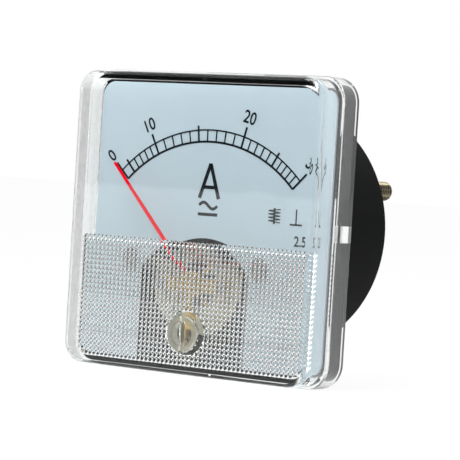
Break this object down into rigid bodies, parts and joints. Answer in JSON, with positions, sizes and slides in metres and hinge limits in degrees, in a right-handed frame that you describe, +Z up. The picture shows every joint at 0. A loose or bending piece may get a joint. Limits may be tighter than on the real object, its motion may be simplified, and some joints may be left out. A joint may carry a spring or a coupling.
{
  "type": "analog panel meter",
  "caption": "Square analog panel meter: clear cover with prismatic lower field, pointer over a curved scale, zero adjuster, round rear barrel and two threaded terminals.",
  "frame": {"origin": "on the barrel axis, in the plane of the panel, where the back of the flange seats", "axes": "-Y out of the front of the meter, +Y along the barrel to the terminals, +X to the right seen from the front, +Z up"},
  "size_m": [0.0604, 0.0486, 0.06],
  "materials": {
    "case_black": "black moulded phenolic, faint satin",
    "cover_clear": "clear moulded polystyrene, polished, prisms on the inside",
    "adjuster_clear": "clear to ivory moulded plastic",
    "dial_paint": "pale blue-grey satin paint on sheet aluminium",
    "print_black": "black printing ink",
    "dark_steel": "blackened steel screws",
    "brass": "plain machined brass",
    "zinc_steel": "zinc-plated steel",
    "natural_nylon": "natural nylon",
    "copper_wire": "enamelled copper wire",
    "copper_strip": "bare copper strip",
    "soft_iron": "soft sheet iron",
    "black_aluminium": "black anodised thin aluminium",
    "aluminium": "pressed thin aluminium",
    "polished_steel": "polished hardened steel",
    "pointer_red": "bright red lacquer",
    "spring_bronze": "phosphor bronze strip",
    "stud_brass": "dull plated brass, cut thread",
    "spring_steel": "dark spring steel"
  },
  "bodies": {
    "case": {"rear_case": "case_black", "front_cover": "cover_clear", "dial_plate": "dial_paint", "scale_print": "print_black", "dial_screws": "dark_steel", "dial_pillars": "brass", "movement_plate": "zinc_steel", "plate_screws": "zinc_steel", "coil_bobbin": "natural_nylon", "coil_winding": "copper_wire", "coil_lead_left": "copper_strip", "coil_lead_right": "copper_strip", "fixed_iron": "soft_iron", "front_bridge": "brass", "bridge_pillars": "brass", "bridge_screws": "dark_steel", "front_jewel_screw": "brass", "front_jewel_nut": "brass", "rear_jewel_screw": "brass", "damping_chamber": "black_aluminium", "damping_lid": "black_aluminium", "terminal_studs": "stud_brass", "stud_nuts": "stud_brass", "terminal_washers": "zinc_steel", "spring_washers": "spring_steel", "terminal_nuts": "stud_brass"},
    "pointer_assembly": {"spindle": "polished_steel", "moving_iron": "soft_iron", "damping_vane": "aluminium", "pointer": "pointer_red", "pointer_hub": "brass", "balance_weights": "brass", "spring_collet": "brass", "hairspring": "spring_bronze"},
    "zero_lever": {"zero_lever": "brass"},
    "zero_adjuster": {"zero_adjuster": "adjuster_clear"}
  },
  "joints": [
    {"name": "pointer_deflection", "type": "hinge", "parent": "case", "child": "pointer_assembly", "pos_m": [0, 0.003, -0.0119], "axis": [0, 1, 0], "range_deg": [-2.2, 87.8], "stiffness_Nm_per_rad": 0.00002, "deforming": ["hairspring"]},
    {"name": "zero_adjuster_turn", "type": "hinge", "parent": "case", "child": "zero_adjuster", "pos_m": [0, -0.011, -0.0214], "axis": [0, 1, 0], "range_deg": [-45, 45]},
    {"name": "zero_lever_swing", "type": "hinge", "parent": "case", "child": "zero_lever", "pos_m": [0, -0.0079, -0.0119], "axis": [0, 1, 0], "range_deg": [-6, 6]}
  ],
  "couplings": [
    {"joint": "zero_lever_swing", "follows": "zero_adjuster_turn", "ratio": 0.1155}
  ]
}
